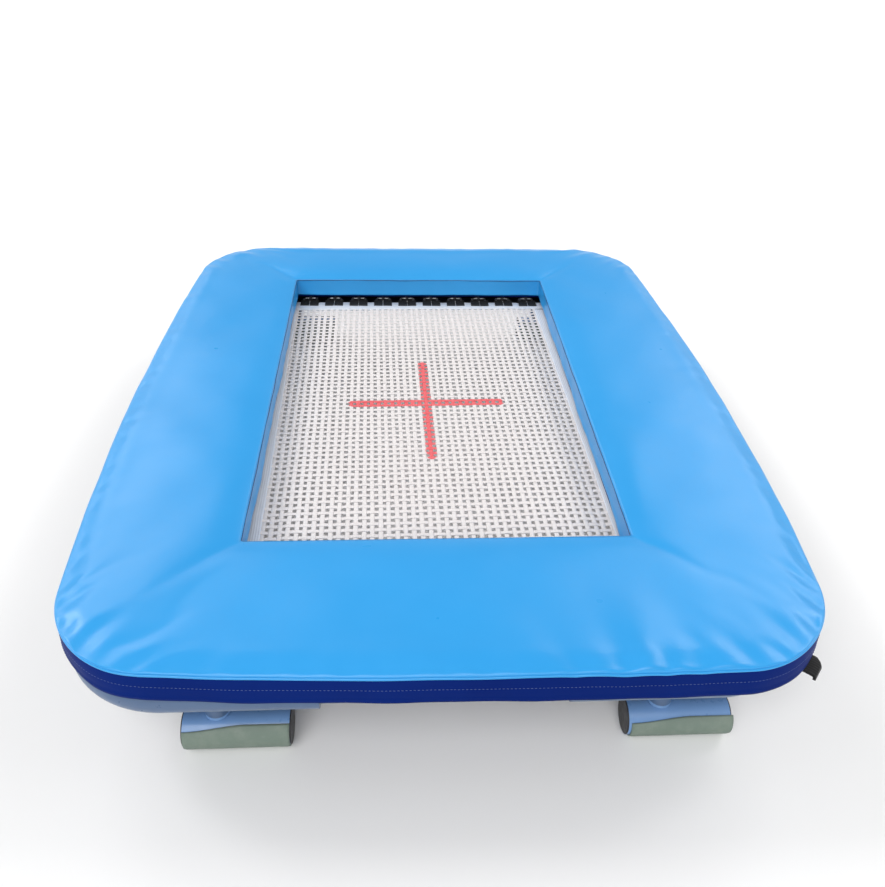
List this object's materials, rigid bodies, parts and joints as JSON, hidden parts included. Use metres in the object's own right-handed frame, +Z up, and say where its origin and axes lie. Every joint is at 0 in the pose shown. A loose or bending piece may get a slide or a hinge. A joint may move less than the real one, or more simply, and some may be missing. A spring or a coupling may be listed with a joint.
{
  "type": "mini trampoline",
  "caption": "Rectangular gymnastics mini-trampoline: padded ring over a tube frame, woven bed on elastic cables, telescopic legs with rubber-sleeved feet.",
  "frame": {"origin": "on the floor under the middle of the frame", "axes": "+Y along the length towards the rear, with the wider padded board at the front, -Y; +X to the right; +Z up"},
  "size_m": [1.1996, 1.51, 0.24],
  "materials": {
    "frame_paint": "semi-gloss light steel blue enamel",
    "bare_steel": "zinc plated",
    "black_plastic": "moulded, fine grain",
    "green_rubber": "matt grey-green",
    "foam": "closed-cell foam, hidden in the cover",
    "blue_vinyl": "PVC coated cloth, soft gloss",
    "navy_vinyl": "PVC coated cloth, soft gloss",
    "black_webbing": "woven hook-and-loop strap",
    "white_webbing": "woven polypropylene straps",
    "black_cable": "elastic cable in a textile sheath"
  },
  "bodies": {
    "frame": {"front_rail": "frame_paint", "rear_rail": "frame_paint", "left_rail": "frame_paint", "right_rail": "frame_paint", "corner_bend_front_left": "frame_paint", "corner_bend_front_right": "frame_paint", "corner_bend_rear_left": "frame_paint", "corner_bend_rear_right": "frame_paint", "leg_sockets": "frame_paint", "leg_cheeks": "frame_paint", "clamp_bosses": "frame_paint", "lacing_rods": "bare_steel", "lacing_tabs": "bare_steel", "foam_front": "foam", "foam_rear": "foam", "foam_left": "foam", "foam_right": "foam", "cover_top": "blue_vinyl", "cover_valence": "blue_vinyl", "cover_bead": "blue_vinyl", "cover_skirt": "navy_vinyl", "cover_base": "navy_vinyl", "pad_straps": "black_webbing", "corner_straps": "black_webbing", "strap_tail": "black_webbing", "front_cables": "black_cable", "rear_cables": "black_cable", "left_cables": "black_cable", "right_cables": "black_cable"},
    "bed": {"bed_web": "white_webbing", "bed_hem": "white_webbing", "bed_rings": "bare_steel", "ring_tabs": "black_webbing"},
    "leg_front_left": {"leg_post_front_left": "frame_paint", "foot_tube_front_left": "frame_paint", "foot_plugs_front_left": "black_plastic", "foot_sleeve_front_left": "green_rubber"},
    "knob_front_left": {"clamp_screw_front_left": "bare_steel", "clamp_knob_front_left": "black_plastic"},
    "leg_front_right": {"leg_post_front_right": "frame_paint", "foot_tube_front_right": "frame_paint", "foot_plugs_front_right": "black_plastic", "foot_sleeve_front_right": "green_rubber"},
    "knob_front_right": {"clamp_screw_front_right": "bare_steel", "clamp_knob_front_right": "black_plastic"},
    "leg_rear_left": {"leg_post_rear_left": "frame_paint", "foot_tube_rear_left": "frame_paint", "foot_plugs_rear_left": "black_plastic", "foot_sleeve_rear_left": "green_rubber"},
    "knob_rear_left": {"clamp_screw_rear_left": "bare_steel", "clamp_knob_rear_left": "black_plastic"},
    "leg_rear_right": {"leg_post_rear_right": "frame_paint", "foot_tube_rear_right": "frame_paint", "foot_plugs_rear_right": "black_plastic", "foot_sleeve_rear_right": "green_rubber"},
    "knob_rear_right": {"clamp_screw_rear_right": "bare_steel", "clamp_knob_rear_right": "black_plastic"}
  },
  "joints": [
    {"name": "bed_bounce", "type": "slide", "parent": "frame", "child": "bed", "axis": [0, 0, 1], "range_m": [-0.14, 0], "stiffness_N_per_m": 6000, "springref_m": 0.004, "deforming": ["front_cables", "rear_cables", "left_cables", "right_cables"]},
    {"name": "leg_height_front_left", "type": "slide", "parent": "frame", "child": "leg_front_left", "axis": [0, 0, -1], "range_m": [0, 0.06]},
    {"name": "clamp_turn_front_left", "type": "hinge", "parent": "frame", "child": "knob_front_left", "pos_m": [-0.345, -0.63, 0.098], "axis": [0, 1, 0], "range_deg": [0, 540]},
    {"name": "leg_height_front_right", "type": "slide", "parent": "frame", "child": "leg_front_right", "axis": [0, 0, -1], "range_m": [0, 0.06]},
    {"name": "clamp_turn_front_right", "type": "hinge", "parent": "frame", "child": "knob_front_right", "pos_m": [0.345, -0.63, 0.098], "axis": [0, 1, 0], "range_deg": [0, 540]},
    {"name": "leg_height_rear_left", "type": "slide", "parent": "frame", "child": "leg_rear_left", "axis": [0, 0, -1], "range_m": [0, 0.06]},
    {"name": "clamp_turn_rear_left", "type": "hinge", "parent": "frame", "child": "knob_rear_left", "pos_m": [-0.345, 0.63, 0.098], "axis": [0, -1, 0], "range_deg": [0, 540]},
    {"name": "leg_height_rear_right", "type": "slide", "parent": "frame", "child": "leg_rear_right", "axis": [0, 0, -1], "range_m": [0, 0.06]},
    {"name": "clamp_turn_rear_right", "type": "hinge", "parent": "frame", "child": "knob_rear_right", "pos_m": [0.345, 0.63, 0.098], "axis": [0, -1, 0], "range_deg": [0, 540]}
  ]
}
